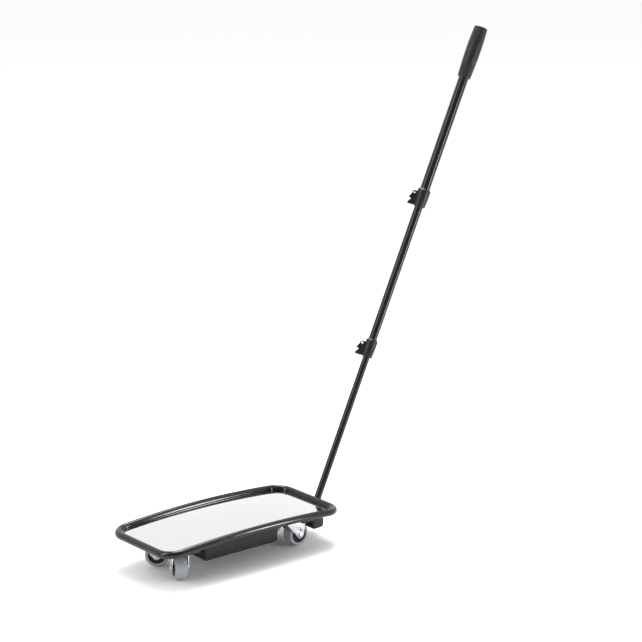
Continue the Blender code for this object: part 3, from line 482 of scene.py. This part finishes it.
class MIRROR_OT_frame(bpy.types.Operator):
    """Bends the frame's tube round the mirror"""

    bl_idname = "mirror.frame"
    bl_label = "Frame tube"

    def execute(self, context):
        look = context.scene.inspection_mirror
        plan = ArchedFrame(look)
        deselect()
        bpy.ops.mesh.primitive_circle_add(vertices=32, radius=look.tube_radius, rotation=(0, pi / 2, 0),
                                          location=(0, plan.half_y, 0))
        tube = context.object
        tube.name = "bent_tube"
        bake_place(tube)
        edit(tube)
        run_x = plan.half_x - look.corner_radius
        run_y = plan.half_y - look.corner_radius
        steps = 16
        for _ in range(steps):
            bpy.ops.mesh.extrude_edges_move(TRANSFORM_OT_translate={"value": (run_x / steps, 0, 0)})
        bpy.ops.mesh.spin(steps=14, angle=pi / 2, center=(run_x, run_y, 0), axis=(0, 0, 1))
        for _ in range(4):
            bpy.ops.mesh.extrude_edges_move(TRANSFORM_OT_translate={"value": (0, -run_y / 4, 0)})
        finish_edit()
        add_modifier(tube, "MIRROR", use_axis=(True, True, False), merge_threshold=0.00001)
        edit(tube)
        bpy.ops.mesh.remove_doubles(threshold=0.00001)
        bpy.ops.mesh.normals_make_consistent(inside=False)
        finish_edit()
        plan.bow(tube)
        smooth(tube)
        stand_for(tube, finish_of("frame"), "frame_tube")
        return {"FINISHED"}


class MIRROR_OT_panel(bpy.types.Operator):
    """Cuts and bends the mirror and finishes the deck under it"""

    bl_idname = "mirror.panel"
    bl_label = "Mirror and deck"

    def execute(self, context):
        look = context.scene.inspection_mirror
        plan = ArchedFrame(look)
        low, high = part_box("mirror_panel")
        size = ((high.x - low.x), (high.y - low.y) - 2 * look.bulge)
        deselect()
        bpy.ops.mesh.primitive_plane_add(size=1, location=(0, 0, -look.mirror_drop))
        panel = context.object
        panel.name = "convex_mirror"
        panel.scale = (size[0], size[1], 1)
        bake_place(panel)
        edit(panel)
        gap = plan.half_x - size[0] / 2
        bpy.ops.mesh.bevel(offset=look.corner_radius - gap, segments=14, affect="VERTICES")
        for cuts, length, normal in ((64, size[0], Vector((1, 0, 0))), (28, size[1], Vector((0, 1, 0)))):
            for i in range(1, cuts):
                bpy.ops.mesh.select_all(action="SELECT")
                bpy.ops.mesh.bisect(plane_co=normal * (i / cuts - 0.5) * length, plane_no=normal)
        finish_edit()
        add_modifier(panel, "SOLIDIFY", thickness=look.mirror_thickness, offset=-1.0)
        soften(panel, 0.0004, 2, radians(50))
        for vertex in panel.data.vertices:
            along_x = 1 - (vertex.co.x / plan.half_x) ** 2
            along_y = 1 - (vertex.co.y / plan.half_y) ** 2
            vertex.co.z += look.mirror_dome * along_x * along_y
        plan.bow(panel)
        smooth(panel, radians(20))
        stand_for(panel, finish_of("mirror"), "mirror_panel")
        for node in ("deck_plate", "cross_bar_left", "cross_bar_right"):
            stand_for(refine(node, 0.0002), finish_of("underside"), node)
        return {"FINISHED"}


# ---------------------------------------------------------------- housing, bracket and foot

class MIRROR_OT_underside(bpy.types.Operator):
    """Finishes the ballast housing, the bracket and the pole's hinge"""

    bl_idname = "mirror.underside"
    bl_label = "Housing and hinge"

    def execute(self, context):
        shells = {"ballast_housing": 0.0008, "foot_bracket": 0.0008}
        for node, edge in shells.items():
            stand_for(refine(node, edge, 3), finish_of("underside"), node)
        stand_for(refine("pivot_clevis", 0.0004), finish_of("pole"), "pivot_clevis")
        stand_for(refine("ballast_bar", 0.0006), finish_of("ballast"), "ballast_bar")
        bright = ["clevis_rivet_near", "clevis_rivet_far", "pivot_bolt", "pivot_nut", "pole_knuckle"]
        bright += [f"housing_bolt_{number}" for number in range(1, 5)]
        for node in bright:
            stand_for(refine(node, 0.0003), finish_of("zinc"), node)
        return {"FINISHED"}


# ---------------------------------------------------------------- casters

def tyre_profile(low, high, radius):
    """Crowned tread with round shoulders, back along the bore."""
    shoulder = 0.0035
    crown = 0.0012
    thickness = 0.0075
    bore = radius - thickness
    half = (high - low) / 2
    flat = half - shoulder
    tread = [(radius - crown * (z / half) ** 2, z) for z in [flat * (1 - i / 4) for i in range(9)]]
    edge = radius - crown - shoulder
    upper = arc((edge, flat), shoulder, 90, 10, 6)
    lower = arc((edge, -flat), shoulder, -10, -90, 6)
    return [(bore, half), *upper, *tread, *lower, (bore, -half), (bore, half)]


def hub_profile(low, high, radius):
    """A moulded wheel centre: raised boss, dished web and a rounded rim on both faces."""
    half = (high - low) / 2
    boss = 0.0075
    bore = 0.0033
    web = half - 0.0035
    rim = half - 0.0022
    upper = [(bore, half), (boss - 0.0006, half), (boss, half - 0.0006), (boss + 0.0012, web),
             (radius - 0.0042, web), (radius - 0.0034, rim), (radius - 0.0010, rim), (radius, rim - 0.0010)]
    lower = [(r, -z) for r, z in reversed(upper)]
    return [*upper, *lower, upper[0]]


def axle_profile(low, high, radius):
    """A riveted axle with domed heads."""
    shank = 0.003
    head = 0.0022
    dome = [(0.0018, high), (radius - 0.0018, high - 0.0003), (radius - 0.0004, high - 0.0010),
            (radius, high - head + 0.0003), (radius - 0.0002, high - head)]
    tail = [(r, low + high - z) for r, z in reversed(dome)]
    return [*dome, (shank, high - head), (shank, low + head), *tail]


class MIRROR_OT_casters(bpy.types.Operator):
    """Turns the tyres, hubs, axles and race plates and rounds the forks"""

    bl_idname = "mirror.casters"
    bl_label = "Casters"

    def execute(self, context):
        for corner in CORNERS:
            name = "caster_" + corner
            spin = JOINTS["spin_" + corner]
            place = axis_frame(spin["pos_m"], spin["axis"])
            turned = (("tyre", tyre_profile, "tyre"), ("hub", hub_profile, "plastic"),
                      ("axle", axle_profile, "zinc"))
            for part, profile, look in turned:
                node = f"{name}_{part}"
                sizes = along(node, spin["pos_m"], spin["axis"])
                piece = draw_out(f"{part}_{corner}", profile(*sizes), 72, part == "axle")
                put(piece, place)
                stand_for(piece, finish_of(look), node)
            for part, edge in (("fork", 0.0005), ("plate", 0.0004), ("king_pin", 0.0004)):
                node = f"{name}_{part}"
                stand_for(refine(node, edge), finish_of("zinc"), node)
        return {"FINISHED"}


# ---------------------------------------------------------------- pole

def ring(outer, inner, low, high, edge=0.0003):
    """Section of a tube with its ends' edges rounded."""
    return [(inner, high), (outer - edge, high), (outer, high - edge), (outer, low + edge),
            (outer - edge, low), (inner, low), (inner, high)]


class MIRROR_OT_pole(bpy.types.Operator):
    """Draws the three telescoping tubes and their bushes"""

    bl_idname = "mirror.pole"
    bl_label = "Pole tubes"

    def execute(self, context):
        place = axis_frame(POLE_FOOT, POLE_LINE)
        wall = context.scene.inspection_mirror.tube_wall
        for node in ("lower_tube", "middle_tube", "upper_tube"):
            low, high, radius = pole_span(node)
            tube = draw_out("drawn_" + node, ring(radius, radius - wall, low, high), 64, False)
            put(tube, place)
            stand_for(tube, finish_of("pole"), node)
        for node in ("lower_bush", "middle_bush", "upper_tube_cap"):
            stand_for(refine(node, 0.0003), finish_of("plastic"), node)
        return {"FINISHED"}


class MIRROR_OT_clamps(bpy.types.Operator):
    """Rounds the flip clamps' collars, levers and rivets"""

    bl_idname = "mirror.clamps"
    bl_label = "Clamps"

    def execute(self, context):
        for which in ("lower", "upper"):
            for part, edge, look in (("collar", 0.0005, "plastic"), ("lever", 0.0009, "plastic"),
                                     ("pin", 0.0003, "plastic")):
                node = f"clamp_{part}_{which}"
                stand_for(refine(node, edge, 3), finish_of(look), node)
        return {"FINISHED"}


def grip_radius(share, end, widest, belly=0.6):
    """Radius of the barrel at a share of its length."""
    reach = (1 - share) / (1 - belly) if share > belly else share / belly
    return end + (widest - end) * sin(pi / 2 * reach)


class MIRROR_OT_grip(bpy.types.Operator):
    """Turns the barrel grip and cuts its slanted ribs"""

    bl_idname = "mirror.grip"
    bl_label = "Grip"

    def execute(self, context):
        look = context.scene.inspection_mirror
        low, high, widest = pole_span("grip")
        end = 0.0148
        bore = 0.0113
        length = high - low
        steps = 150
        round_end = 0.0022
        outer = []
        for i in range(steps + 1):
            share = 1 - i / steps
            radius = grip_radius(share, end, widest)
            edge = min(share, 1 - share) * length
            if edge < round_end:
                radius -= round_end - (round_end ** 2 - (round_end - edge) ** 2) ** 0.5
            outer.append((radius, low + share * length))
        end_wall = 0.004
        profile = [(0.004, high), *outer, (bore, low), (bore, high - end_wall)]
        grip = draw_out("barrel_grip", profile, 144, True)
        ribbed = 0.30 * length
        plain_end = 0.003
        ramp_in, ramp_out = 0.003, 0.004
        twist = 900.0
        for vertex in grip.data.vertices:
            x, y, z = vertex.co
            reach = (x * x + y * y) ** 0.5
            near = min(z - low, high - z)
            if reach < end - plain_end or near < plain_end:
                continue
            fade = max(0.0, min(1.0, (ribbed - near) / ramp_out)) * min(1.0, (near - plain_end) / ramp_in)
            turn = Vector((x, y)).angle_signed(Vector((1, 0)), 0.0)
            wave = 0.5 + 0.5 * sin(look.rib_count * turn + (z - low) * twist)
            cut = look.rib_depth * fade * wave ** 2
            vertex.co = (x * (1 - cut / reach), y * (1 - cut / reach), z)
        grip.data.update()
        put(grip, axis_frame(POLE_FOOT, POLE_LINE))
        smooth(grip, radians(60))
        stand_for(grip, finish_of("grip"), "grip")
        return {"FINISHED"}


# ---------------------------------------------------------------- stage

CAMERA_AZIMUTH = -39.38263
CAMERA_ELEVATION = 15.5003
CAMERA_AIM = (0.062326, 0.059492, 0.455654)
CAMERA_DISTANCE = 5.9
CAMERA_LENS = 149.769
BACKDROP_LIFT = 0.35
BACKDROP_FADE = {"From Min": -0.5, "From Max": 0.35, "To Min": 0.30, "To Max": 1.30}


def direction(azimuth, elevation):
    a, e = radians(azimuth), radians(elevation)
    return Vector((sin(a) * cos(e), -cos(a) * cos(e), sin(e)))


def add_softbox(name, azimuth, elevation, distance, size, power):
    deselect()
    aim = Vector((0.0, 0.0, 0.3))
    bpy.ops.object.light_add(type="AREA", location=aim + direction(azimuth, elevation) * distance)
    light = bpy.context.object
    light.name = name
    light.data.shape = "RECTANGLE"
    light.data.size, light.data.size_y = size
    light.data.energy = power
    light.rotation_mode = "QUATERNION"
    light.rotation_quaternion = (-direction(azimuth, elevation)).to_track_quat("-Z", "Y")


def add_backdrop(tree, far):
    """White behind the object and above it, dimmer round the camera's side."""
    spot = tree.nodes.new("ShaderNodeTexCoord")
    lean = tree.nodes.new("ShaderNodeVectorMath")
    lean.operation = "DOT_PRODUCT"
    lean.inputs[1].default_value = far + Vector((0, 0, BACKDROP_LIFT))
    fade = tree.nodes.new("ShaderNodeMapRange")
    fade.interpolation_type = "SMOOTHSTEP"
    for name, value in BACKDROP_FADE.items():
        fade.inputs[name].default_value = value
    sky = tree.nodes["Background"]
    sky.inputs["Color"].default_value = (1.0, 1.0, 1.0, 1.0)
    tree.links.new(spot.outputs["Generated"], lean.inputs[0])
    tree.links.new(lean.outputs["Value"], fade.inputs["Value"])
    tree.links.new(fade.outputs["Result"], sky.inputs["Strength"])


class MIRROR_OT_stage(bpy.types.Operator):
    """Adds the floor, the studio light and the camera"""

    bl_idname = "mirror.stage"
    bl_label = "Studio"

    def execute(self, context):
        deselect()
        bpy.ops.mesh.primitive_plane_add(size=60.0, location=(0, 0, -0.0005))
        floor = context.object
        floor.name = "studio_floor"
        made = Finish("studio_floor", (0.93, 0.93, 0.93), 0.9)
        floor.data.materials.append(made.material)
        world = bpy.data.worlds.new("studio")
        world.use_nodes = True
        add_backdrop(world.node_tree, -direction(CAMERA_AZIMUTH, 0.0))
        context.scene.world = world
        context.scene.view_settings.view_transform = "Standard"
        add_softbox("softbox_left", -95.0, 30.0, 3.0, (0.9, 3.0), 45.0)
        add_softbox("softbox_low", 30.0, 5.0, 2.0, (0.22, 0.9), 16.0)
        add_softbox("softbox_top", 140.0, 68.0, 3.4, (1.5, 1.9), 110.0)
        back = direction(CAMERA_AZIMUTH, CAMERA_ELEVATION)
        bpy.ops.object.camera_add(location=Vector(CAMERA_AIM) + back * CAMERA_DISTANCE)
        camera = context.object
        camera.name = "camera"
        camera.rotation_mode = "QUATERNION"
        camera.rotation_quaternion = (-back).to_track_quat("-Z", "Y")
        camera.data.sensor_width = 36.0
        camera.data.lens = CAMERA_LENS
        context.scene.camera = camera
        return {"FINISHED"}


class MIRROR_PT_panel(bpy.types.Panel):
    """Lists the mirror's pieces in the sidebar"""

    bl_label = "Inspection Mirror"
    bl_idname = "MIRROR_PT_panel"
    bl_space_type = "VIEW_3D"
    bl_region_type = "UI"
    bl_category = "Mirror"

    def draw(self, context):
        for operator in OPERATORS:
            self.layout.operator(operator.bl_idname)
        for name in InspectionMirrorSettings.__annotations__:
            self.layout.prop(context.scene.inspection_mirror, name)


OPERATORS = (MIRROR_OT_frame, MIRROR_OT_panel, MIRROR_OT_underside, MIRROR_OT_casters, MIRROR_OT_pole,
             MIRROR_OT_clamps, MIRROR_OT_grip, MIRROR_OT_stage)
CLASSES = (InspectionMirrorSettings, *OPERATORS, MIRROR_PT_panel)


def register():
    for item in CLASSES:
        bpy.utils.register_class(item)
    bpy.types.Scene.inspection_mirror = PointerProperty(type=InspectionMirrorSettings)


def unregister():
    del bpy.types.Scene.inspection_mirror
    for item in reversed(CLASSES):
        bpy.utils.unregister_class(item)


def main():
    register()
    ops = bpy.ops.mirror
    for make in (ops.frame, ops.panel, ops.underside, ops.casters, ops.pole, ops.clamps, ops.grip, ops.stage):
        make()


if __name__ == "__main__":
    main()
